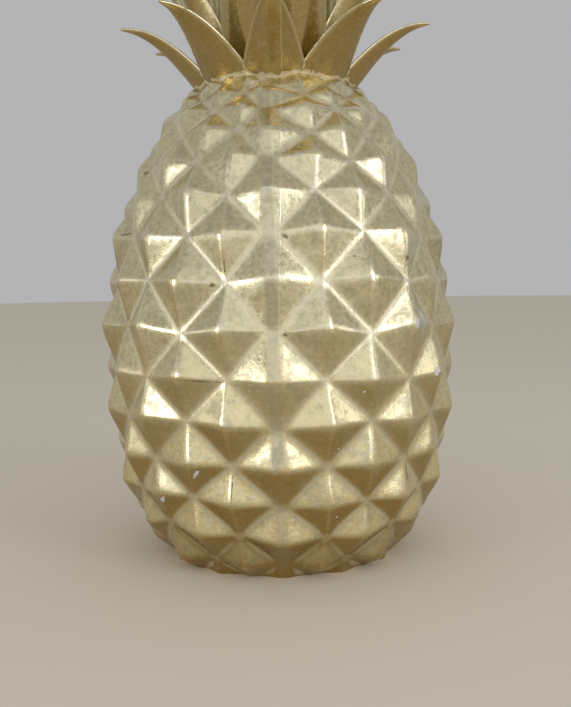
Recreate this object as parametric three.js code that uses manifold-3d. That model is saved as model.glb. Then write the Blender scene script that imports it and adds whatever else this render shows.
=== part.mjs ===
// A pineapple ornament, cast in one piece: an egg-shaped fruit covered with diamond points, cut flat
// below to stand on, and a crown of pointed leaves. Millimetres, +Z up, origin at the middle of the
// underside. The seam of the two-part mould runs up the front (-Y) and the back (+Y), filed flat.
import * as THREE from 'three';
import { mergeVertices } from 'three/addons/utils/BufferGeometryUtils.js';
import Module from 'manifold-3d';

// Fruit: an egg through the bottoms of the valleys, with the points standing out of it
const eggRadius = 79.5; // widest radius, in the valleys
const eggHalfHeight = 142; // from the widest place to either end of the whole egg
const eggCentreHeight = 94; // the widest place, above the underside
const pointHeight = 6; // how far the tallest points stand out

// Diamonds: rows of points and valley corners, taking turns around each row. A row's height above the
// egg's widest place is the egg's half height times the hyperbolic tangent of its stage, so that the
// rows draw together as the egg narrows and the diamonds keep their shape.
const pointsPerRow = 12;
const widestRowStage = -0.03; // the row that the others are counted from
const rowStageAbove = 0.148; // from each row to the next one up, above that row
const rowStageBelow = 0.133; // and below it, where the diamonds are a little flatter

// Softened edges, each given as the full width of its strip
const ridgeWidth = 1.4;
const valleyWidth = 3.2;
const seamWidth = 7.5; // the upright ridges on the two mould seams, filed flat
const hiddenEdgeWidth = 0.6; // at the two ends of the egg, inside the crown and below the cut

// Crown: a cone-shaped core, and leaves on it in tiers, listed from the outermost to the innermost.
// The tips lie on a quarter of an ellipse, from low and wide to high and narrow.
const neckRadius = 37; // where the crown grows out of the fruit
const crownHeight = 152; // the innermost tips, above the neck
const crownReach = 73; // the outermost tips, out from the axis
const collarRise = 27; // the outermost tips, above the neck
const leavesPerTier = [9, 9, 8, 6, 4, 3];
const stemHeight = 48; // the core, above the neck
const stemTopRadius = 9;
const stemSides = 18;
const innerLeafFoot = 38; // where the innermost leaves grow from, above the neck
const innerLean = 7; // degrees of the tips' ellipse that the innermost tips stay short of its top

// Leaves: channelled blades with a keel. The angles are in degrees above the horizontal.
const outerLeafWidth = 30;
const innerLeafWidth = 18;
const outerFootAngle = 48;
const innerFootAngle = 88;
const outerTipAngle = 2;
const innerTipAngle = 80;
const leafThickness = 5; // at the leaf's foot
const leafTipThickness = 1.8;
const leafEdgeShare = 0.5; // the edge's thickness, as a share of the middle's
const leafChannel = 0.3; // how far the edges rise above the middle, as a share of the half width
const leafFullness = 1.5; // 1 narrows evenly from foot to tip, more keeps the leaf wide for longer
const leafBend = 0.33; // how much of the leaf's length keeps to the angle at each of its ends
const leafSteps = 5;

const mergeDistance = 0.0001; // corners closer than this are one

const origin = new THREE.Vector2();

const wasm = await Module();
wasm.setup();

// Radius of the valley egg at a height above the underside
function eggRadiusAt(height) {
  const share = (height - eggCentreHeight) / eggHalfHeight;
  return eggRadius * Math.sqrt(Math.max(0, 1 - share * share));
}

// A point on the valley egg, moved out along the egg's normal
function pointOnEgg(height, angle, lift) {
  const radius = eggRadiusAt(height);
  const outward = new THREE.Vector2(
    radius / eggRadius ** 2,
    (height - eggCentreHeight) / eggHalfHeight ** 2,
  ).normalize();
  const reach = radius + lift * outward.x;
  return new THREE.Vector3(
    reach * Math.sin(angle),
    -reach * Math.cos(angle),
    height + lift * outward.y,
  );
}

// Heights of the rows from the lowest to the highest, out to one row past the underside and the neck,
// and how many of them are below the row that the others are counted from
function rowHeights(neckHeight) {
  const heightAt = (stage) => eggCentreHeight + eggHalfHeight * Math.tanh(stage);
  const rows = [heightAt(widestRowStage)];
  while (rows[0] > 0) rows.unshift(heightAt(widestRowStage - rowStageBelow * rows.length));
  const below = rows.length - 1;
  while (rows.at(-1) < neckHeight) {
    rows.push(heightAt(widestRowStage + rowStageAbove * (rows.length - below)));
  }
  return { rows, below };
}

// The sharp lattice: one column every half diamond, and in each row a point at every other column.
// A corner says its place and whether it is a point, and on which column it stands.
function fruitLattice(neckHeight) {
  const columns = 2 * pointsPerRow;
  const { rows, below } = rowHeights(neckHeight);
  const corners = [];
  rows.forEach((height, row) => {
    const lift = (pointHeight * eggRadiusAt(height)) / eggRadius;
    for (let column = 0; column < columns; column++) {
      const isPoint = (row + column + below) % 2 === 0;
      const angle = (2 * Math.PI * column) / columns;
      corners.push({ place: pointOnEgg(height, angle, isPoint ? lift : 0), isPoint, column });
    }
  });
  const at = (row, column) => row * columns + (column % columns);
  const faces = [];
  for (let row = 0; row + 1 < rows.length; row++) {
    for (let column = 0; column < columns; column++) {
      const [a, b] = [at(row, column), at(row, column + 1)];
      const [c, d] = [at(row + 1, column + 1), at(row + 1, column)];
      // The valley joins the cell's two corners that aren't points
      if (corners[a].isPoint) faces.push([a, b, d], [b, c, d]);
      else faces.push([a, b, c], [a, c, d]);
    }
  }
  const bottom = corners.push({ place: pointOnEgg(eggCentreHeight - eggHalfHeight, 0, 0) }) - 1;
  const top = corners.push({ place: pointOnEgg(eggCentreHeight + eggHalfHeight, 0, 0) }) - 1;
  const last = rows.length - 1;
  for (let column = 0; column < columns; column++) {
    faces.push([bottom, at(0, column + 1), at(0, column)]);
    faces.push([top, at(last, column), at(last, column + 1)]);
  }
  return { corners, faces };
}

// Half the width of the strip that softens the edge between two corners of the lattice
function fruitEdgeHalfWidth(a, b) {
  if (a.column === undefined || b.column === undefined) return hiddenEdgeWidth / 2;
  if (!a.isPoint && !b.isPoint) return valleyWidth / 2;
  const onSeam = a.column === b.column && a.column % pointsPerRow === 0;
  return (onSeam ? seamWidth : ridgeWidth) / 2;
}

// Softens a closed mesh of triangles: each edge becomes a flat strip, and each corner a small pad.
// Returns the new triangles as a geometry.
function softened(corners, faces, halfWidth) {
  const places = corners.map((corner) => corner.place);
  const key = (from, to) => from * corners.length + to;
  const faceWithEdge = new Map();
  faces.forEach((face, index) => {
    face.forEach((from, turn) => faceWithEdge.set(key(from, face[(turn + 1) % 3]), index));
  });

  // The face's corner drawn in from its two edges, by each edge's own half width
  function inset(faceIndex, corner) {
    const face = faces[faceIndex];
    const turn = face.indexOf(corner);
    const [next, previous] = [face[(turn + 1) % 3], face[(turn + 2) % 3]];
    const alongNext = places[next].clone().sub(places[corner]).normalize();
    const alongPrevious = places[previous].clone().sub(places[corner]).normalize();
    const sine = alongNext.clone().cross(alongPrevious).length();
    return places[corner]
      .clone()
      .addScaledVector(alongNext, halfWidth(corners[previous], corners[corner]) / sine)
      .addScaledVector(alongPrevious, halfWidth(corners[corner], corners[next]) / sine);
  }

  const triangles = [];
  faces.forEach((face, index) => {
    triangles.push(face.map((corner) => inset(index, corner)));
    face.forEach((from, turn) => {
      const to = face[(turn + 1) % 3];
      if (from > to) return; // the strip is made once, from one of its two sides
      const other = faceWithEdge.get(key(to, from));
      const [fromHere, toHere] = [inset(index, from), inset(index, to)];
      const [fromThere, toThere] = [inset(other, from), inset(other, to)];
      triangles.push([fromThere, toThere, toHere], [fromThere, toHere, fromHere]);
    });
  });
  const firstFace = new Map();
  faces.forEach((face, index) => face.forEach((corner) => firstFace.set(corner, index)));
  for (const [corner, start] of firstFace) {
    const ring = [];
    let index = start;
    do {
      ring.push(inset(index, corner));
      const face = faces[index];
      const previous = face[(face.indexOf(corner) + 2) % 3];
      index = faceWithEdge.get(key(corner, previous));
    } while (index !== start);
    for (let i = 1; i + 1 < ring.length; i++) triangles.push([ring[0], ring[i], ring[i + 1]]);
  }
  return geometryOf(triangles);
}

function geometryOf(triangles) {
  const numbers = triangles.flat().flatMap((place) => place.toArray());
  const geometry = new THREE.BufferGeometry();
  geometry.setAttribute('position', new THREE.Float32BufferAttribute(numbers, 3));
  return geometry;
}

// A closed skin over rings of equally many places, with a flat first end and a pointed last one.
// The rings turn anticlockwise, seen from the tip.
function lofted(rings, tip) {
  const triangles = [];
  const sides = rings[0].length;
  for (let i = 0; i < sides; i++) {
    const j = (i + 1) % sides;
    if (i > 0 && j > 0) triangles.push([rings[0][0], rings[0][j], rings[0][i]]);
    for (let ring = 0; ring + 1 < rings.length; ring++) {
      const [low, high] = [rings[ring], rings[ring + 1]];
      triangles.push([low[i], low[j], high[j]], [low[i], high[j], high[i]]);
    }
    triangles.push([rings.at(-1)[i], rings.at(-1)[j], tip]);
  }
  return geometryOf(triangles);
}

// The middle line of a leaf, out from the axis and up, from its foot inside the stem to its tip.
// The tier is 0 for the outermost leaves and 1 for the innermost ones.
function leafSpine(tier, neckHeight) {
  const { lerp, degToRad } = THREE.MathUtils;
  const footRise = innerLeafFoot * tier;
  const foot = new THREE.Vector2(
    lerp(neckRadius, stemTopRadius, footRise / stemHeight) - leafThickness,
    neckHeight + footRise - leafThickness,
  );
  const tipTurn = degToRad(lerp(0, 90 - innerLean, tier));
  const tip = new THREE.Vector2(
    crownReach * Math.cos(tipTurn),
    neckHeight + lerp(collarRise, crownHeight, Math.sin(tipTurn)),
  );
  const bend = leafBend * foot.distanceTo(tip);
  const heading = (degrees) => new THREE.Vector2(bend, 0).rotateAround(origin, degToRad(degrees));
  return new THREE.CubicBezierCurve(
    foot,
    foot.clone().add(heading(lerp(outerFootAngle, innerFootAngle, Math.sin(tipTurn)))),
    tip.clone().sub(heading(lerp(outerTipAngle, innerTipAngle, tier))),
    tip,
  );
}

// One leaf of a tier, turned about the axis
function leaf(tier, neckHeight, turn) {
  const spine = leafSpine(tier, neckHeight);
  const width = THREE.MathUtils.lerp(outerLeafWidth, innerLeafWidth, tier ** 2);
  const place = (out, side, up) => new THREE.Vector3(side, -out, up);
  const rings = [];
  for (let step = 0; step < leafSteps; step++) {
    const along = step / leafSteps;
    const middle = spine.getPoint(along);
    const ahead = spine.getTangent(along);
    const inner = new THREE.Vector2(-ahead.y, ahead.x); // towards the axis
    const halfWidth = (width / 2) * (1 - along ** leafFullness);
    const half = THREE.MathUtils.lerp(leafThickness, leafTipThickness, along) / 2;
    const lift = leafChannel * halfWidth;
    const section = [
      [0, -half],
      [halfWidth, lift - half * leafEdgeShare],
      [halfWidth, lift + half * leafEdgeShare],
      [0, half],
      [-halfWidth, lift + half * leafEdgeShare],
      [-halfWidth, lift - half * leafEdgeShare],
    ];
    rings.push(
      section.map(([side, across]) => {
        const at = middle.clone().addScaledVector(inner, across);
        return place(at.x, side, at.y);
      }),
    );
  }
  const end = spine.getPoint(1);
  return lofted(rings, place(end.x, 0, end.y)).rotateZ(turn);
}

// The core that the leaves grow from: a cone that starts inside the fruit
function stem(neckHeight) {
  const start = neckHeight - pointHeight - leafThickness;
  const profile = [
    [0, start],
    [neckRadius, start],
    [neckRadius, neckHeight],
    [stemTopRadius, neckHeight + stemHeight],
    [0, neckHeight + stemHeight],
  ];
  const turned = new THREE.LatheGeometry(
    profile.map(([radius, height]) => new THREE.Vector2(radius, height)),
    stemSides,
  );
  return turned.rotateX(Math.PI / 2);
}

// A geometry as a solid that can be joined and cut
function solidOf(geometry) {
  const bare = geometry.clone().deleteAttribute('normal').deleteAttribute('uv');
  const merged = mergeVertices(bare, mergeDistance);
  return new wasm.Manifold(
    new wasm.Mesh({
      numProp: 3,
      vertProperties: merged.attributes.position.array,
      triVerts: new Uint32Array(merged.index.array),
    }),
  );
}

// A solid as a geometry with flat shading
function geometryFrom(solid) {
  const mesh = solid.getMesh();
  const geometry = new THREE.BufferGeometry();
  geometry.setAttribute('position', new THREE.Float32BufferAttribute(mesh.vertProperties, 3));
  geometry.setIndex(new THREE.Uint32BufferAttribute(mesh.triVerts, 1));
  const flat = geometry.toNonIndexed();
  flat.computeVertexNormals();
  return flat;
}

function pineapple() {
  const neckShare = neckRadius / eggRadius;
  const neckHeight = eggCentreHeight + eggHalfHeight * Math.sqrt(1 - neckShare * neckShare);
  const { corners, faces } = fruitLattice(neckHeight);
  const fruit = solidOf(softened(corners, faces, fruitEdgeHalfWidth));

  const belowCut = 2 * eggHalfHeight;
  const floor = new THREE.BoxGeometry(4 * eggRadius, 4 * eggRadius, belowCut);
  floor.translate(0, 0, -belowCut / 2);
  let solid = fruit.subtract(solidOf(floor)).add(solidOf(stem(neckHeight)));

  leavesPerTier.forEach((count, index) => {
    const tier = index / (leavesPerTier.length - 1);
    for (let i = 0; i < count; i++) {
      const turn = (2 * Math.PI * (i + (index % 2) / 2)) / count; // every other tier half a leaf on
      solid = solid.add(solidOf(leaf(tier, neckHeight, turn)));
    }
  });

  const gold = new THREE.MeshStandardMaterial({ color: 0xb7a162, roughness: 0.35, metalness: 0.9 });
  const mesh = new THREE.Mesh(geometryFrom(solid), gold);
  mesh.name = 'pineapple';
  return mesh;
}

const ornament = new THREE.Group();
ornament.add(pineapple());

export default ornament;
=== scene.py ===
"""A gold pineapple ornament, cast in one piece: a fruit of diamond points and a crown of leaves.

Metres, +Z up, standing on the floor at z = 0. The camera looks along +Y, at the front seam.
"""

from functools import reduce
from itertools import pairwise
from math import atan2, cos, pi, radians, sin, sqrt, tanh

import bmesh
import bpy
import numpy as np
from mathutils import Matrix, Vector, kdtree


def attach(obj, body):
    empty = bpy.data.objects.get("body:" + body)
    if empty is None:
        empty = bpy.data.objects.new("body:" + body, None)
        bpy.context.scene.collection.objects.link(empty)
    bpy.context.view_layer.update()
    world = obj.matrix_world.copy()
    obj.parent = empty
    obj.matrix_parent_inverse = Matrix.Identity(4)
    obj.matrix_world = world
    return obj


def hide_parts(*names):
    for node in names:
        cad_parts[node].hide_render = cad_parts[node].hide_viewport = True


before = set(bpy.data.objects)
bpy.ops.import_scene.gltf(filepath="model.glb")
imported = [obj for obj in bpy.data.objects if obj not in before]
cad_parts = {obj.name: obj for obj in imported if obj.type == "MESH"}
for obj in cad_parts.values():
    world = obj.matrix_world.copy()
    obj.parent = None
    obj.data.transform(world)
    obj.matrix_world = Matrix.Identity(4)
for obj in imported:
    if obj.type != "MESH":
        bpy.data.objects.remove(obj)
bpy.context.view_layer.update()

MM = 0.001

# Fruit: an egg through the bottoms of the valleys, with the points standing out of it
EGG_RADIUS = 79.5 * MM
EGG_HALF_HEIGHT = 142 * MM
EGG_CENTRE = 94 * MM
FOOT_START = 20 * MM  # the height below which the egg is drawn in to its foot
FOOT_DRAW = 7.4 * MM  # how far it is drawn in at the floor
POINT_HEIGHT = 5.9 * MM
POINT_ROUNDING = 2.9 * MM  # how far from its tip a point is rubbed round
POINT_RUBS = 4
RUB_STRENGTH = 0.5
POINTS_PER_ROW = 12
COLUMNS = 2 * POINTS_PER_ROW  # by turns with a point and with a knot, where valleys meet
WIDEST_ROW_STAGE = -0.03  # rows stand at even stages of a tanh curve, so the outer ones lie closer
ROW_STAGE_ABOVE = 0.148
ROW_STAGE_BELOW = 0.133
RIDGE_WIDTH = 2.6 * MM
VALLEY_WIDTH = 3.8 * MM  # in the lower half
HIGH_VALLEY_WIDTH = 3.3 * MM  # in the upper half
SEAM_WIDTH = 5 * MM
SEAM_FILING = 0.2 * MM  # how much lower the seams' corners are than their neighbours
SEAM_LEAN = 0.029  # sideways drift of the front seam, for each unit of height
SEAM_CROSSING = 76 * MM  # the height where the front seam is in the middle
EDGE_ROUNDS = 2  # strips across each softened edge
FLAT_ANGLE = radians(4)  # edges flatter than this are neither ridges nor valleys

# Hand-made unevenness
CORNER_WANDER = 0.8 * MM
DEPTH_WANDER = 0.3 * MM
SWELL_SIZE = 20 * MM
SWELL_DEPTH = 0.8 * MM
DENT_SIZE = 7 * MM
DENT_DEPTH = 0.25 * MM
SEED = 80353
# How far corners stand to the right of, above and out from their regular places, in mm, by row and
# by column from the front seam
STRAYS = {
    5: {
        -3: (0, 0, 0.4), -2: (-1.1, 0.4, -0.1), -1: (0, 0, -0.4), 1: (0, 0, 0.1),
        2: (0.5, -0.7, -0.1),
    },
    4: {
        -6: (-2.5, -3, 0), -4: (0, 0.5, -0.1), -3: (-0.4, 0.5, -0.2), -2: (-0.7, 0.4, 0),
        -1: (-1.4, -1, 0.1), 0: (0, 0, 0.1), 1: (-0.8, 0.9, -0.2), 2: (-0.3, 0, 0.1),
        3: (-0.4, 0.6, 0.4), 4: (-1.1, -0.7, -0.3), 6: (1.2, -3.4, 0),
    },
    3: {
        -5: (-2.1, 0.9, 0), -4: (0, 0, -0.1), -3: (-0.3, -0.9, 0.8), -2: (0.1, -0.2, 0.2),
        -1: (-1.7, -1, 0.2), 0: (0, 0.4, 0.3), 1: (-0.5, 1.2, 0.5), 2: (0, 0.7, 0.1),
        3: (0.3, -0.6, 0.9), 5: (1.4, -2.1, 0),
    },
    2: {
        -6: (-1.7, -1.3, 0), -4: (-0.3, -0.3, 0.1), -3: (-1, 0.4, -0.9), -2: (-1.7, -0.9, 0.1),
        -1: (0.1, -1.1, -0.2), 0: (0, 0, -0.1), 1: (-0.3, -0.5, -0.6), 2: (0, 0, 0),
        3: (2.4, -1.6, -0.5), 4: (-1.4, -0.2, 0), 6: (0.1, -2.4, 0),
    },
    1: {
        -5: (-1.8, -0.6, 0), -4: (1.9, 0.2, -0.1), -3: (-0.5, 1.4, 0), -2: (-0.3, -1.7, -0.2),
        -1: (-0.8, -0.2, 0), 0: (0, -0.7, -0.7), 1: (0, 0.4, 0.1), 2: (0.2, -2.4, -0.1),
        3: (0.2, 1, -0.3), 4: (-0.3, -1.7, 0.2), 5: (0.5, -1, 0),
    },
    0: {
        -6: (-0.5, -1.2, 0), -4: (0.7, 1.4, 0.1), -3: (0, 0.4, 0.3), -2: (0.3, 1.6, 0),
        -1: (0.2, 0.8, -0.1), 0: (0, 0, -0.3), 1: (-0.3, 0.2, -0.1), 2: (-1.5, -0.7, 0.1),
        3: (0.1, -1.8, -0.1), 4: (-0.6, -0.9, -0.1), 6: (-0.9, -2.1, 0),
    },
    -1: {
        -5: (-0.5, 0.8, 0), -4: (0.4, -0.4, -0.1), -3: (0, 2.4, -0.2), -2: (1.3, 1.3, 0),
        -1: (0.2, 1, 0), 0: (0, -1.1, 0), 1: (1, 0.9, 0), 2: (-0.2, 0.4, 0.2),
        3: (-1.6, -0.7, -0.2), 4: (-0.3, -0.7, 0), 5: (-0.3, 0.1, 0),
    },
    -2: {
        -6: (0.3, 0.3, 0), -4: (0.9, 0.5, 0.1), -3: (0.6, 0.7, -0.2), -2: (2.8, 1.2, 0),
        -1: (0.8, 0.7, -0.2), 0: (0, 0, 0.1), 1: (0.7, 0.2, 0.1), 2: (-0.9, 0.3, 0.1),
        3: (0, -0.5, -0.1), 4: (-1.6, 1.2, 0), 6: (-1.2, 0.4, 0),
    },
    -3: {
        -5: (-0.5, 1.3, 0), -4: (0, 0, -0.2), -3: (1.6, 2.8, 0.1), -2: (0, 2, 0),
        -1: (0.6, 1.2, 0.1), 0: (0, 0, -0.2), 1: (1.6, 0.9, -0.1), 2: (0.7, 0.1, 0.1),
        3: (-0.1, -0.4, 0), 4: (0, 0, -0.2), 5: (-0.1, 1.2, 0),
    },
    -4: {
        -6: (1.3, -0.3, 0), -4: (2.3, 0.5, 0.2), -3: (-0.3, 2.4, 0.3), -2: (1.6, 1.6, 0.4),
        -1: (0.9, 0.7, 0.5), 0: (0, 0, 0.9), 1: (2.1, -0.5, 0.5), 2: (-0.1, 0.5, 0.3),
        3: (0.7, 1.1, 0.3), 4: (-1.4, 1.2, 0.2), 6: (-2.3, 0.3, 0),
    },
    -5: {
        -5: (-0.2, 3, 0.1), 5: (0, 3.5, 0),
    },
}

# Crown: a cone-shaped core, and leaves on it in tiers from the outermost to the innermost
NECK_RADIUS = 37 * MM
NECK_HEIGHT = EGG_CENTRE + EGG_HALF_HEIGHT * sqrt(1 - (NECK_RADIUS / EGG_RADIUS) ** 2)
CROWN_HEIGHT = 152 * MM  # of the innermost tips above the neck
CROWN_REACH = 73 * MM  # of the outermost tips from the axis
COLLAR_RISE = 27 * MM  # of the outermost tips above the neck
LEAVES_PER_TIER = (9, 9, 8, 6, 4, 3)
STEM_HEIGHT = 48 * MM
STEM_TOP_RADIUS = 9 * MM
STEM_SIDES = 32
INNER_LEAF_FOOT = 38 * MM  # how far above the neck the innermost leaves start
INNER_LEAN = 7  # degrees that the innermost tips stop short of the axis, on the arc of all tips
OUTER_LEAF_WIDTH = 30 * MM
INNER_LEAF_WIDTH = 18 * MM
OUTER_FOOT_ANGLE = 48  # degrees above level that a leaf sets out at
INNER_FOOT_ANGLE = 88
OUTER_TIP_ANGLE = 2  # degrees above level that it ends at
INNER_TIP_ANGLE = 80
LEAF_THICKNESS = 4.5 * MM
LEAF_TIP_SHARE = 0.4  # the tip's thickness, as a share of the foot's
LEAF_EDGE_SHARE = 0.5  # the edges' thickness, as a share of the middle's
LEAF_CHANNEL = 0.3  # the channel's depth, as a share of the half width
LEAF_CHANNEL_POWER = 1.6  # how its depth grows from the middle to the edges
LEAF_FULLNESS = 1.5  # how late the leaf tapers
LEAF_TIP_WIDTH = 0.02  # as a share of the full width
LEAF_BEND = 0.33  # how far its curve's handles reach, as a share of the distance from foot to tip
LEAF_STRIPS = 8
LEAF_STEPS = 12
LEAF_LINE_STEPS = 24
RIB_HEIGHT = 0.035  # of the ribs along a leaf, as a share of its half width
SMOOTH_ANGLE = radians(35)  # edges sharper than this stay sharp in the light

# Camera, from the photograph: its place round the ornament and how it is turned
CAMERA_DISTANCE = 443.8 * MM
CAMERA_HEIGHT = 134.6 * MM
CAMERA_TURN = radians(1.46)  # round the ornament, towards +X
CAMERA_PITCH = radians(5.23)  # down
CAMERA_PAN = radians(0.32)  # to the right
CAMERA_ROLL = radians(0.86)  # clockwise
PHOTO_HEIGHT = 707
FOCAL_PIXELS = 909.3
SENSOR = 36  # mm, along the picture's long side


def mix(low, high, share):
    return low + (high - low) * share


# Modelling helpers


def deselect_all():
    if bpy.context.object and bpy.context.object.mode != "OBJECT":
        bpy.ops.object.mode_set(mode="OBJECT")
    bpy.ops.object.select_all(action="DESELECT")


def work_on(piece):
    deselect_all()
    piece.select_set(True)
    bpy.context.view_layer.objects.active = piece


def freeze(piece):
    """Puts the piece's place, turn and size into its mesh."""
    work_on(piece)
    bpy.ops.object.transform_apply(location=True, rotation=True, scale=True)


def pick(piece, parts, test):
    """In edit mode, selects only the verts, edges or faces of the piece that pass the test."""
    work_on(piece)
    bpy.ops.object.mode_set(mode="EDIT")
    kinds = ("verts", "edges", "faces")
    bpy.context.tool_settings.mesh_select_mode = tuple(kind == parts for kind in kinds)
    mesh = bmesh.from_edit_mesh(piece.data)
    for kind in reversed(kinds):
        for part in getattr(mesh, kind):
            part.select_set(False)
    for part in getattr(mesh, parts):
        if test(part):
            part.select_set(True)
    bmesh.update_edit_mesh(piece.data)


def modify(piece, kind, **settings):
    """Adds a modifier with these settings and applies it."""
    work_on(piece)
    modifier = piece.modifiers.new(kind.lower(), kind)
    for name, value in settings.items():
        setattr(modifier, name, value)
    bpy.ops.object.modifier_apply(modifier=modifier.name)


# Fruit


def egg_radius(height):
    share = (height - EGG_CENTRE) / EGG_HALF_HEIGHT
    drawn_in = FOOT_DRAW * max(0, 1 - height / FOOT_START)
    return EGG_RADIUS * sqrt(1 - share * share) - drawn_in


def row_height(row):
    """The height of a row of corners. Row 0 is the widest, and has a point on the front seam."""
    step = ROW_STAGE_ABOVE if row > 0 else ROW_STAGE_BELOW
    return EGG_CENTRE + EGG_HALF_HEIGHT * tanh(WIDEST_ROW_STAGE + step * row)


def row_numbers():
    """The rows from the first one below the floor to the first one inside the crown."""
    first = last = 0
    while row_height(first) > 0:
        first -= 1
    while row_height(last) < NECK_HEIGHT:
        last += 1
    return range(first, last + 1)


def turn_egg(rows):
    """An egg of four-sided faces: a ring of corners, drawn up row by row."""
    heights = [row_height(row) for row in rows]
    bpy.ops.mesh.primitive_circle_add(
        vertices=COLUMNS,
        radius=egg_radius(heights[0]),
        location=(0, 0, heights[0]),
        fill_type="NGON",
    )
    fruit = bpy.context.object
    freeze(fruit)
    bpy.ops.object.mode_set(mode="EDIT")
    for low, high in pairwise(heights):
        bpy.ops.mesh.extrude_region_move(TRANSFORM_OT_translate={"value": (0, 0, high - low)})
        growth = egg_radius(high) / egg_radius(low)
        bpy.ops.transform.resize(value=(growth, growth, 1), center_override=(0, 0, high))
    bpy.ops.mesh.select_all(action="SELECT")
    bpy.ops.mesh.normals_make_consistent(inside=False)
    bpy.ops.object.mode_set(mode="OBJECT")
    return fruit


def corner_places(fruit, rows):
    """The row and column of each corner of the egg. Columns count from the front seam."""
    places = []
    for corner in fruit.data.vertices:
        row = min(rows, key=lambda row: abs(row_height(row) - corner.co.z))
        angle = atan2(corner.co.x, -corner.co.y)
        places.append((row, round(angle * COLUMNS / (2 * pi)) % COLUMNS))
    return places


def raise_points(fruit, rows, places):
    """Pulls every other corner out into a point, and folds the faces between into valleys."""
    is_point = [(row + column) % 2 == 0 for row, column in places]
    for row in rows:
        in_row = [place[0] == row for place in places]
        pick(fruit, "verts", lambda corner: is_point[corner.index] and in_row[corner.index])
        share = egg_radius(max(row_height(row), EGG_CENTRE)) / EGG_RADIUS
        bpy.ops.transform.shrink_fatten(value=POINT_HEIGHT * share)
    pick(fruit, "verts", lambda corner: not is_point[corner.index])
    bpy.ops.mesh.vert_connect()
    bpy.ops.object.mode_set(mode="OBJECT")


def seam_drift(height):
    """How far the front seam stands to the side at a height."""
    return (SEAM_CROSSING - height) * SEAM_LEAN


def wander(fruit, places):
    """Moves each corner a little, as in a pattern cut by hand. The seams' corners stay on them."""
    draw = np.random.default_rng(SEED)
    for corner, (row, column) in zip(fruit.data.vertices, places):
        sideways, up, outward = draw.normal(0, 1, 3) * (CORNER_WANDER, CORNER_WANDER, DEPTH_WANDER)
        right = 0
        signed_column = (column + POINTS_PER_ROW) % COLUMNS - POINTS_PER_ROW
        if signed_column in STRAYS.get(row, ()):
            sideways = 0
            right, up, outward = (stray * MM for stray in STRAYS[row][signed_column])
        elif column % POINTS_PER_ROW == 0:
            sideways = outward = 0
        if column % POINTS_PER_ROW == 0:
            outward -= SEAM_FILING
        angle = 2 * pi * column / COLUMNS
        corner.co.x += right + sideways * cos(angle) + outward * sin(angle)
        corner.co.y += sideways * sin(angle) - outward * cos(angle)
        corner.co.z += up
        if column == 0:
            corner.co.x += seam_drift(corner.co.z)


def file_seams(fruit, places):
    """Makes a flat band of the upright ridges on the two mould seams."""

    def on_seam(edge):
        ends = [places[corner.index] for corner in edge.verts]
        upright = ends[0][0] != ends[1][0]
        return upright and all(column % POINTS_PER_ROW == 0 for _, column in ends)

    pick(fruit, "edges", on_seam)
    bpy.ops.mesh.bevel(
        offset=SEAM_WIDTH / 2,
        offset_type="OFFSET",
        segments=1,
        affect="EDGES",
        clamp_overlap=False,
    )
    bpy.ops.mesh.select_all(action="SELECT")
    bpy.ops.mesh.subdivide(number_cuts=1)
    bpy.ops.object.mode_set(mode="OBJECT")


def distance_finder(spots):
    """A function that tells how far a place is from the nearest of these spots."""
    tree = kdtree.KDTree(len(spots))
    for number, spot in enumerate(spots):
        tree.insert(spot, number)
    tree.balance()
    return lambda place: tree.find(place)[2]


def round_points(fruit, tips):
    """Rubs the points round at their tips."""
    from_tip = distance_finder(tips)
    pick(fruit, "verts", lambda corner: from_tip(corner.co) < POINT_ROUNDING)
    bpy.ops.mesh.vertices_smooth(factor=RUB_STRENGTH, repeat=POINT_RUBS)
    bpy.ops.object.mode_set(mode="OBJECT")


def soften_edges(fruit):
    """Rounds the ridges, and the valleys more widely."""
    mesh = bmesh.new()
    mesh.from_mesh(fruit.data)
    weight = mesh.edges.layers.float.new("bevel_weight_edge")
    for edge in mesh.edges:
        angle = edge.calc_face_angle_signed(0)
        if abs(angle) > FLAT_ANGLE:
            high = (edge.verts[0].co.z + edge.verts[1].co.z) / 2 > EGG_CENTRE
            valley_width = HIGH_VALLEY_WIDTH if high else VALLEY_WIDTH
            edge[weight] = (RIDGE_WIDTH if angle > 0 else valley_width) / VALLEY_WIDTH
    mesh.to_mesh(fruit.data)
    mesh.free()
    modify(
        fruit,
        "BEVEL",
        limit_method="WEIGHT",
        width=VALLEY_WIDTH / 2,
        segments=EDGE_ROUNDS,
        use_clamp_overlap=False,
    )
    modify(fruit, "SUBSURF", levels=1, render_levels=1)


def dent(piece, name, size, depth):
    """Waves the surface in and out, as the hand-made model's was."""
    clouds = bpy.data.textures.new(name, "CLOUDS")
    clouds.noise_scale = size
    modify(piece, "DISPLACE", texture=clouds, texture_coords="LOCAL", strength=depth, mid_level=0.5)


def cut_foot(fruit):
    """Cuts the fruit flat at the floor."""
    work_on(fruit)
    bpy.ops.object.mode_set(mode="EDIT")
    bpy.ops.mesh.select_all(action="SELECT")
    bpy.ops.mesh.bisect(
        plane_co=(0, 0, 0),
        plane_no=(0, 0, 1),
        threshold=0.001 * MM,
        clear_inner=True,
        use_fill=True,
    )
    bpy.ops.object.mode_set(mode="OBJECT")


def model_fruit():
    """The fruit, and the knots where its valleys meet."""
    rows = row_numbers()
    fruit = turn_egg(rows)
    fruit.name = "fruit"
    places = corner_places(fruit, rows)
    raise_points(fruit, rows, places)
    wander(fruit, places)
    tips, knots = [], []
    for corner, (row, column) in zip(fruit.data.vertices, places):
        if column % POINTS_PER_ROW:
            (knots if (row + column) % 2 else tips).append(corner.co.copy())
    file_seams(fruit, places)
    soften_edges(fruit)
    round_points(fruit, tips)
    dent(fruit, "swell", SWELL_SIZE, SWELL_DEPTH)
    dent(fruit, "dents", DENT_SIZE, DENT_DEPTH)
    cut_foot(fruit)
    return fruit, knots


# Crown


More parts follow.
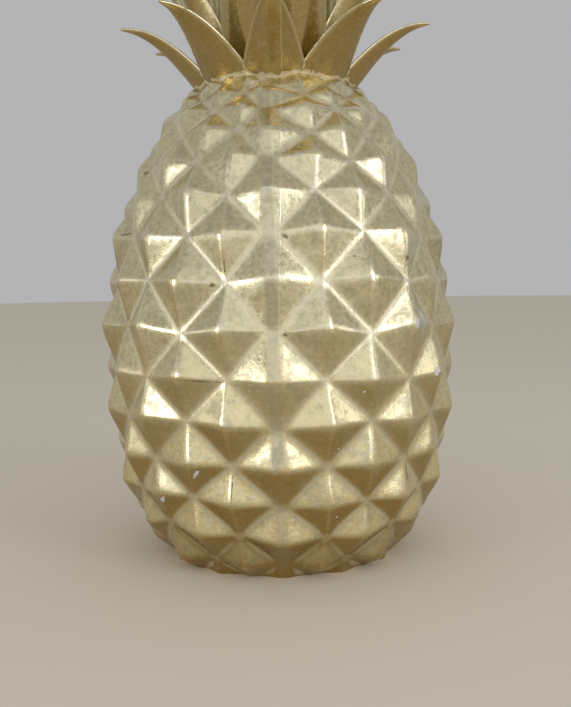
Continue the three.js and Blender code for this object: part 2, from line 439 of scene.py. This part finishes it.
def leaf_line(tier):
    """A leaf's middle line, out from the axis and up, as four Bezier points.

    Tier is 0 for the outermost leaves and 1 for the innermost ones.
    """
    foot_rise = INNER_LEAF_FOOT * tier
    foot = Vector(
        (
            mix(NECK_RADIUS, STEM_TOP_RADIUS, foot_rise / STEM_HEIGHT) - LEAF_THICKNESS,
            NECK_HEIGHT + foot_rise - LEAF_THICKNESS,
        )
    )
    tip_turn = radians((90 - INNER_LEAN) * tier)
    tip_rise = mix(COLLAR_RISE, CROWN_HEIGHT, sin(tip_turn))
    tip = Vector((CROWN_REACH * cos(tip_turn), NECK_HEIGHT + tip_rise))
    bend = LEAF_BEND * (tip - foot).length
    foot_angle = radians(mix(OUTER_FOOT_ANGLE, INNER_FOOT_ANGLE, sin(tip_turn)))
    tip_angle = radians(mix(OUTER_TIP_ANGLE, INNER_TIP_ANGLE, tier))
    return (
        foot,
        foot + bend * Vector((cos(foot_angle), sin(foot_angle))),
        tip - bend * Vector((cos(tip_angle), sin(tip_angle))),
        tip,
    )


def draw_leaf_line(tier):
    """The leaf's middle line as a curve object at the front of the crown."""
    foot, after_foot, before_tip, tip = (Vector((0, -out, up)) for out, up in leaf_line(tier))
    bpy.ops.curve.primitive_bezier_curve_add()
    line = bpy.context.object
    ends = line.data.splines[0].bezier_points
    for end in ends:
        end.handle_left_type = end.handle_right_type = "FREE"
    ends[0].co, ends[0].handle_left, ends[0].handle_right = foot, foot, after_foot
    ends[1].co, ends[1].handle_left, ends[1].handle_right = tip, before_tip, tip
    line.data.resolution_u = LEAF_LINE_STEPS
    return line


def model_leaf(tier):
    """A flat blade, tapered, channelled and ribbed, then thickened and bent to its middle line."""
    line = draw_leaf_line(tier)
    length = line.data.splines[0].calc_length()
    half_width = mix(OUTER_LEAF_WIDTH, INNER_LEAF_WIDTH, tier**2) / 2
    bpy.ops.mesh.primitive_grid_add(
        x_subdivisions=LEAF_STEPS,
        y_subdivisions=LEAF_STRIPS,
        size=1,
        location=(0.5, 0, 0),
    )
    leaf = bpy.context.object
    freeze(leaf)
    thickness = leaf.vertex_groups.new(name="thickness")
    for corner in leaf.data.vertices:
        along, side = corner.co.x, 2 * corner.co.y
        strip = round((side + 1) / 2 * LEAF_STRIPS)
        rib = RIB_HEIGHT * (strip % 2)
        taper = max(LEAF_TIP_WIDTH, 1 - along**LEAF_FULLNESS)
        lift = (LEAF_CHANNEL * abs(side) ** LEAF_CHANNEL_POWER + rib) * half_width * taper
        corner.co = (along * length, side * half_width * taper, lift)
        share = mix(1, LEAF_TIP_SHARE, along) * mix(1, LEAF_EDGE_SHARE, side**2)
        thickness.add([corner.index], share, "REPLACE")
    modify(leaf, "SOLIDIFY", thickness=LEAF_THICKNESS, offset=0, vertex_group="thickness")
    modify(leaf, "SUBSURF", levels=1, render_levels=1)
    modify(leaf, "CURVE", object=line, deform_axis="POS_X")
    bpy.data.objects.remove(line)
    return leaf


def model_stem():
    """The crown's core, which starts inside the fruit."""
    bottom = NECK_HEIGHT - POINT_HEIGHT - LEAF_THICKNESS
    top = NECK_HEIGHT + STEM_HEIGHT
    bpy.ops.mesh.primitive_cone_add(
        vertices=STEM_SIDES,
        radius1=NECK_RADIUS,
        radius2=STEM_TOP_RADIUS,
        depth=top - bottom,
        location=(0, 0, (top + bottom) / 2),
    )
    stem = bpy.context.object
    freeze(stem)
    return stem


def model_crown():
    """The stem and the leaves. Every other tier is turned on by half a leaf."""
    pieces = [model_stem()]
    for index, count in enumerate(LEAVES_PER_TIER):
        leaf = model_leaf(index / (len(LEAVES_PER_TIER) - 1))
        for number in range(count):
            copy = leaf.copy()
            copy.data = leaf.data.copy()
            bpy.context.scene.collection.objects.link(copy)
            copy.rotation_euler.z = 2 * pi * (number + index % 2 / 2) / count
            freeze(copy)
            pieces.append(copy)
        bpy.data.objects.remove(leaf)
    return pieces


def cast_in_one(piece, others):
    """Joins the others to the piece, and leaves one closed surface."""
    for other in others:
        modify(piece, "BOOLEAN", object=other, operation="UNION", solver="MANIFOLD")
        bpy.data.objects.remove(other)


# Stage

DAYLIGHT = (0.92, 0.98, 1.16)
LAMP_DISTANCE = 1.5
SOFTBOXES = {  # degrees round from the camera to +X, degrees up, width, height and brightness
    "left_softbox": (-51.5, 6, 0.48, 0.5, 4.0),
    "right_softbox": (48, 17, 0.5, 1.0, 2.5),
    "left_side_softbox": (-84, 4, 0.5, 0.4, 0.7),
    "right_side_softbox": (80, 9, 0.5, 0.5, 1.2),
    "front_softbox": (0, 20, 1.6, 1.7, 0.48),
}
STUDIO_GREY = (0.455, 0.455, 0.465, 1)
FLOOR_RADIUS = 4
FLOOR_SIDES = 64
FLOOR_COLOUR = (0.84, 0.75, 0.6, 1)
FLOOR_ROUGHNESS = 0.8


def place_camera():
    data = bpy.data.cameras.new("camera")
    data.sensor_width = SENSOR
    data.lens = FOCAL_PIXELS / PHOTO_HEIGHT * SENSOR
    camera = bpy.data.objects.new("camera", data)
    bpy.context.scene.collection.objects.link(camera)
    # The camera looks along its own -Z: stood up to look along +Y, rolled, tipped down and panned
    aim = (
        Matrix.Rotation(CAMERA_TURN - CAMERA_PAN, 4, "Z")
        @ Matrix.Rotation(-CAMERA_PITCH, 4, "X")
        @ Matrix.Rotation(CAMERA_ROLL, 4, "Y")
        @ Matrix.Rotation(pi / 2, 4, "X")
    )
    stand = Matrix.Rotation(CAMERA_TURN, 4, "Z") @ Vector((0, -CAMERA_DISTANCE, CAMERA_HEIGHT))
    camera.matrix_world = Matrix.Translation(stand) @ aim
    bpy.context.scene.camera = camera


def hang_softbox(name, azimuth, elevation, width, height, brightness):
    """A lamp panel that faces the ornament."""
    data = bpy.data.lights.new(name, "AREA")
    data.shape = "RECTANGLE"
    data.size, data.size_y, data.energy = width, height, brightness * pi * width * height
    data.color = DAYLIGHT
    lamp = bpy.data.objects.new(name, data)
    bpy.context.scene.collection.objects.link(lamp)
    lamp.visible_camera = False
    turn, rise = radians(azimuth), radians(elevation)
    outward = Vector((sin(turn) * cos(rise), -cos(turn) * cos(rise), sin(rise)))
    lamp.location = Vector((0, 0, EGG_CENTRE)) + outward * LAMP_DISTANCE
    lamp.rotation_mode = "QUATERNION"
    lamp.rotation_quaternion = outward.to_track_quat("Z", "Y")


def light_stage():
    for name, settings in SOFTBOXES.items():
        hang_softbox(name, *settings)
    world = bpy.data.worlds.new("studio")
    world.use_nodes = True
    world.node_tree.nodes["Background"].inputs["Color"].default_value = STUDIO_GREY
    bpy.context.scene.world = world
    bpy.context.scene.view_settings.view_transform = "Standard"


def lay_floor():
    bpy.ops.mesh.primitive_circle_add(vertices=FLOOR_SIDES, radius=FLOOR_RADIUS, fill_type="NGON")
    floor = bpy.context.object
    floor.name = "floor"
    pale = bpy.data.materials.new("pale_floor")
    pale.use_nodes = True
    shader = pale.node_tree.nodes["Principled BSDF"]
    shader.inputs["Base Color"].default_value = FLOOR_COLOUR
    shader.inputs["Roughness"].default_value = FLOOR_ROUGHNESS
    floor.data.materials.append(pale)


# Measures of the surface, kept on the mesh for the material to read

LEAST_AREA = (0.2 * MM) ** 2  # corners with less surface round them count as having this much


def store(piece, name, values):
    """Keeps a number for each corner of the piece's mesh."""
    piece.data.attributes.new(name, "FLOAT", "POINT").data.foreach_set("value", values)


def measure_bends(piece):
    """Stores how sharply each corner bends, in 1/mm: above 0 on ridges and below 0 in hollows."""
    mesh = bmesh.new()
    mesh.from_mesh(piece.data)
    turns = [0.0] * len(mesh.verts)
    areas = [0.0] * len(mesh.verts)
    for edge in mesh.edges:
        turn = edge.calc_face_angle_signed(0) * edge.calc_length()
        for corner in edge.verts:
            turns[corner.index] += turn / 2
    for face in mesh.faces:
        area = face.calc_area() / len(face.verts)
        for corner in face.verts:
            areas[corner.index] += area
    raw = [turn / max(area, LEAST_AREA) * MM for turn, area in zip(turns, areas)]
    bends = []
    for corner in mesh.verts:
        near = [raw[edge.other_vert(corner).index] for edge in corner.link_edges]
        bends.append((raw[corner.index] + sum(near) / len(near)) / 2)
    mesh.free()
    store(piece, "bend", bends)


def measure_downturn(piece):
    """Stores how far each corner of the surface faces down, from -1 to 1."""
    # the gilding paints shade, and a brown reflection, on faces by this
    store(piece, "downturn", [-corner.normal.z for corner in piece.data.vertices])


def measure_knots(piece, knots):
    """Stores how far each corner is from the nearest knot, where the valleys meet."""
    from_knot = distance_finder(knots)
    store(piece, "from_knot", [from_knot(corner.co) for corner in piece.data.vertices])


# Gilding


class Channel:
    """A socket among a material's nodes. Python's operators on it add Math nodes."""

    def __init__(self, tree, socket=None):
        self.tree = tree
        self.socket = socket

    def node(self, kind, settings=(), inputs=(), output=0):
        """Adds a node with these settings, and with values or links on its sockets."""
        node = self.tree.nodes.new("ShaderNode" + kind)
        for name, value in dict(settings).items():
            setattr(node, name, value)
        for name, value in dict(inputs).items():
            if isinstance(value, Channel):
                self.tree.links.new(value.socket, node.inputs[name])
            else:
                node.inputs[name].default_value = value
        return Channel(self.tree, node.outputs[output])

    def math(self, operation, *values):
        """Adds a Math node on these values or channels."""
        return self.node("Math", {"operation": operation}, dict(enumerate(values)))

    def __add__(self, other):
        return self.math("ADD", self, other)

    def __sub__(self, other):
        return self.math("SUBTRACT", self, other)

    def __rsub__(self, other):
        return self.math("SUBTRACT", other, self)

    def __mul__(self, other):
        return self.math("MULTIPLY", self, other)

    def __abs__(self):
        return self.math("ABSOLUTE", self)

    __radd__ = __add__
    __rmul__ = __mul__

    def rise(self, low, high):
        """0 below low and 1 above high, with a soft step between. High may be the lower one."""
        return self.node(
            "MapRange",
            {"interpolation_type": "SMOOTHSTEP"},
            {"Value": self, "From Min": low, "From Max": high},
        )

    def blend(self, below, above):
        """A colour between two others, by this share."""
        # Of a Mix node's sockets, inputs 6 and 7 and output 2 are the coloured ones
        return self.node("Mix", {"data_type": "RGBA"}, {0: self, 6: below, 7: above}, output=2)

    def noise(self, size, offset, detail=3, roughness=0.5):
        """Cloudy noise from 0 to 1, in lumps of this size, over the coordinates moved by offset."""
        place = self.node("VectorMath", {"operation": "ADD"}, {0: self, 1: (offset,) * 3})
        return place.node(
            "TexNoise",
            inputs={"Vector": place, "Scale": 1 / size, "Detail": detail, "Roughness": roughness},
        )


SPOT_DEPTH = 5 * MM  # how far below and above the surface a spot reaches

CHIPS = (  # place on the fruit, length and width in mm, and slant in degrees of each bare spot
    ((-34.9, -70.1, 50.0), 4.6, 1.1, 50),
    ((-50.9, -54.9, 35.7), 3.8, 1.4, 47),
    ((70.2, -44.4, 89.2), 4.4, 2.3, 65),
    ((62.2, -51.6, 114.8), 4.4, 2.1, 125),
    ((59.9, -58.4, 111.3), 4.2, 2.4, 85),
    ((35.9, -72.6, 84.3), 1.1, 0.8, 0),
    ((25.0, -73.1, 61.2), 1.0, 0.7, 0),
    ((23.7, -68.2, 31.2), 1.2, 0.8, 0),
    ((6.0, -71.2, 30.9), 1.1, 0.8, 0),
)
SMEARS = (((63.5, -50.7, 111.5), 8.0, 6.5, 90),)  # the same of each greyish smear
DARK_MARKS_AND_PAINTED_SHADOW = (  # the same of each dark mark: stains, thin dark lines along ridges, and a painted shadow beside one ridge
    ((-25.6, -72.6, 129.1), 2.4, 1.4, 0),
    ((4.0, -79.7, 108.7), 2.4, 1.3, -10),
    ((4.5, -73.9, 148.4), 2.8, 1.5, -35),
    ((-68.5, -29.1, 151.8), 7.0, 0.9, 5),
    ((55.8, -55.0, 139.0), 1.6, 2.0, 80),
    ((32.9, -68.7, 140.0), 1.0, 1.0, 0),
    ((-31.0, -74.7, 89.8), 16.0, 0.5, -3),
    ((-20.3, -73.9, 135.1), 6.5, 0.6, 90),
    # a thin painted shadow beside a ridge's highlight
    ((-19.0, -74.2, 44.7), 11.0, 0.35, 88),
    ((56.1, -51.5, 45.0), 9.5, 1.2, 100),
    ((-59.5, -24.1, 179.8), 5.0, 1.0, 0),
)


def spots(place, sizes, ragged, soft):
    """1 inside any of these spots, whose edges are ragged and soft over a share of their size."""
    insides = []
    for centre, length, width, slant in sizes:
        outward = atan2(centre[1], centre[0])
        shifted = place.node(
            "Mapping",
            {"vector_type": "TEXTURE"},
            {
                "Vector": place,
                "Location": [value * MM for value in centre],
                "Rotation": (0, radians(-slant), outward + pi / 2),
                "Scale": (length / 2 * MM, SPOT_DEPTH, width / 2 * MM),
            },
        )
        distance = place.node("VectorMath", {"operation": "LENGTH"}, {0: shifted}, output=1)
        insides.append((distance + ragged).rise(1 + soft, 1 - soft))
    return reduce(lambda one, other: place.math("MAXIMUM", one, other), insides)


# Colours of the metal and of the marks on it, with darker copies painted as shade on faces that
# turn down
LOW_GOLD = (0.8, 0.68, 0.37, 1)
HIGH_GOLD = (0.76, 0.67, 0.4, 1)
# painted shade: the gold on faces that turn down
UNDERSIDE_SHADE_GOLD = (0.67, 0.6, 0.365, 1)
# painted shade and a painted warm brown reflection: the gold on faces that turn steeply down
DEEP_UNDERSIDE_SHADE_GOLD = (0.41, 0.29, 0.1, 1)
OPEN_TARNISH = (0.48, 0.44, 0.28, 1)
# painted shade: the tarnish on faces that turn down
UNDERSIDE_SHADE_TARNISH = (0.37, 0.35, 0.2, 1)
DARK_FLECK = (0.34, 0.31, 0.18, 1)
BRIGHT_FLECK = (0.9, 0.81, 0.53, 1)
FILED_SEAM = (0.44, 0.41, 0.3, 1)
LOW_VALLEY = (0.62, 0.55, 0.36, 1)
HIGH_VALLEY = (0.8, 0.7, 0.48, 1)
RUBBED_RIDGE = (0.82, 0.7, 0.4, 1)
BRIGHT_RIDGE = (0.92, 0.85, 0.64, 1)
# painted shade: rubbed ridges on faces that turn down
UNDERSIDE_SHADE_RIDGE = (0.6, 0.47, 0.23, 1)
PALE_KNOT = (0.88, 0.8, 0.58, 1)
PARTING_LINE = (0.85, 0.8, 0.66, 1)
GREY_SMEAR = (0.55, 0.58, 0.61, 1)
# the colour of dark stains, and of one painted shadow beside a ridge
DARK_MARK_AND_SHADOW = (0.14, 0.11, 0.05, 1)
BARE_BODY = (0.72, 0.71, 0.76, 1)

SPECKLE_SIZE = 2 * MM
MOTTLE_SIZE = 4.5 * MM
HAZE_SIZE = 16 * MM
RAGGED_SIZE = 1.3 * MM  # of the lumps along the edges of chips, smears and stains
RAGGED_DEPTH = 3  # from the furthest in to the furthest out, in half sizes of the spot
CHIP_SOFTNESS = 0.35
MARK_SOFTNESS = 0.6
PIT_DEPTH = 0.12 * MM
BASE_ROUGHNESS = 0.26

# Where each of these starts, and where it is full
WORN_BENDS = (0.1, 0.4)  # 1/mm
HOLLOW_BENDS = (-0.07, -0.26)
# painted shade on faces that turn down, then deeper painted shade and brown reflection on steeper
# ones
UNDERSIDE_SHADE_DOWNTURNS = (-0.04, 0.12)
DEEP_UNDERSIDE_SHADE_DOWNTURNS = (0.12, 0.455)
TARNISH_CLOUDS = (0.96, 1.16)
UPPER_PART = (80 * MM, 125 * MM)  # heights of the upper part's finish
SEAM_BAND = (2.7 * MM, 1.9 * MM)  # distances from the middle of a seam
KNOT_REACH = (3.4 * MM, 1.4 * MM)  # distances from a knot
PARTING_REACH = (0.5 * MM, 0.1 * MM)  # distances from the parting line
PARTING_RISE = (108 * MM, 114 * MM)  # heights of the parting line
PARTING_LEAN = 0.0155  # its sideways drift, for each unit of height


def gold():
    material = bpy.data.materials.new("antique_gold")
    material.use_nodes = True
    tree = material.node_tree
    shader = tree.nodes["Principled BSDF"]
    start = Channel(tree)
    place = start.node("TexCoord", output="Object")
    bend = start.node("Attribute", {"attribute_name": "bend"}, output="Fac")
    downturn = start.node("Attribute", {"attribute_name": "downturn"}, output="Fac")
    from_knot = start.node("Attribute", {"attribute_name": "from_knot"}, output="Fac")
    side, depth, height = (
        place.node("SeparateXYZ", inputs={0: place}, output=axis) for axis in range(3)
    )
    front = place.math("LESS_THAN", depth, 0)

    speckle = place.noise(SPECKLE_SIZE, offset=0.3, detail=2, roughness=0.6)
    mottle = place.noise(MOTTLE_SIZE, offset=0.1, detail=4, roughness=0.6)
    haze = place.noise(HAZE_SIZE, offset=0.7)
    ragged = (place.noise(RAGGED_SIZE, offset=0.5) - 0.5) * RAGGED_DEPTH
    wobble = (mottle - 0.5) * MM

    # Where the gilding has changed, and where it is marked
    worn = bend.rise(*WORN_BENDS)
    hollow = bend.rise(*HOLLOW_BENDS)
    high = height.rise(*UPPER_PART)
    knotted = (from_knot + wobble * 2).rise(*KNOT_REACH) * (0.3 + high * 0.4)
    # painted shade, and a painted brown reflection, where the surface turns down
    underside_shade = downturn.rise(*UNDERSIDE_SHADE_DOWNTURNS)
    deep_underside_shade = downturn.rise(*DEEP_UNDERSIDE_SHADE_DOWNTURNS)
    tarnish = (mottle + haze * 0.5 + speckle * 0.5).rise(*TARNISH_CLOUDS)
    seam = abs(side - seam_drift(height) * front + wobble).rise(*SEAM_BAND)
    from_parting = abs(side - height * PARTING_LEAN + wobble * 1.5) + (1 - front)
    parting = from_parting.rise(*PARTING_REACH) * height.rise(*PARTING_RISE)
    chipped = spots(place, CHIPS, ragged, CHIP_SOFTNESS)
    smeared = spots(place, SMEARS, ragged, MARK_SOFTNESS)
    dark_marks_and_shadow = spots(place, DARK_MARKS_AND_PAINTED_SHADOW, ragged, MARK_SOFTNESS)

    # tarnish, with a painted-shade copy on faces that turn down
    tarnish_and_underside_shade = underside_shade.blend(OPEN_TARNISH, UNDERSIDE_SHADE_TARNISH)
    valley = high.blend(LOW_VALLEY, HIGH_VALLEY)
    open_ridge = mottle.rise(0.4, 0.55).blend(RUBBED_RIDGE, BRIGHT_RIDGE)
    # rubbed ridges, with a painted-shade copy on faces that turn down
    ridge = underside_shade.blend(open_ridge, UNDERSIDE_SHADE_RIDGE)
    layers = (  # how far each one covers what is under it, and its colour
        # painted shade on faces that turn down, and deeper painted shade with a brown reflection
        (underside_shade, UNDERSIDE_SHADE_GOLD),
        (deep_underside_shade, DEEP_UNDERSIDE_SHADE_GOLD),
        (tarnish * (0.6 - deep_underside_shade * 0.35), tarnish_and_underside_shade),
        (speckle.rise(0.5, 0.32) * (0.15 + high * 0.17), DARK_FLECK),
        (speckle.rise(0.5, 0.68) * (0.4 - underside_shade * 0.2 - deep_underside_shade * 0.12), BRIGHT_FLECK),
        (seam * (0.3 + mottle.rise(0.45, 0.6) * 0.15 - deep_underside_shade * 0.25), FILED_SEAM),
        (hollow * 0.7, valley),
        (worn * 0.75, ridge),
        (knotted, PALE_KNOT),
        (parting * 0.3, PARTING_LINE),
        (smeared * 0.6, GREY_SMEAR),
        # dark stains, and one painted shadow beside a ridge
        (dark_marks_and_shadow * 0.8, DARK_MARK_AND_SHADOW),
        (chipped * 0.8, BARE_BODY),
    )
    colour = high.blend(LOW_GOLD, HIGH_GOLD)
    for cover, layer in layers:
        colour = cover.blend(colour, layer)

    roughness = BASE_ROUGHNESS + tarnish * 0.12 + hollow * 0.1 + seam * 0.05 - worn * 0.02
    roughness = roughness + (speckle - 0.5) * 0.28 + chipped * 0.4
    metal = (1 - chipped * 0.9) * (1 - hollow * (0.6 - high * 0.2)) * (1 - smeared * 0.3)
    pitted = mottle * 1.1 + speckle * 0.35
    relief = pitted * (1 - worn * 0.6) + parting * 0.25 - chipped * 0.4
    bump = start.node("Bump", inputs={"Height": relief, "Distance": PIT_DEPTH, "Strength": 1})

    tree.links.new(colour.socket, shader.inputs["Base Color"])
    tree.links.new(roughness.socket, shader.inputs["Roughness"])
    tree.links.new(metal.socket, shader.inputs["Metallic"])
    tree.links.new(bump.socket, shader.inputs["Normal"])
    return material


deselect_all()
place_camera()
pineapple, knots = model_fruit()
stem, *leaves = model_crown()
cast_in_one(stem, leaves)
cast_in_one(pineapple, [stem])
pineapple.name = "pineapple_casting"
work_on(pineapple)
bpy.ops.object.shade_smooth_by_angle(angle=SMOOTH_ANGLE)
measure_bends(pineapple)
measure_downturn(pineapple)
measure_knots(pineapple, knots)
pineapple.data.materials.clear()
pineapple.data.materials.append(gold())
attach(pineapple, "root")
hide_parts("pineapple")
light_stage()
lay_floor()
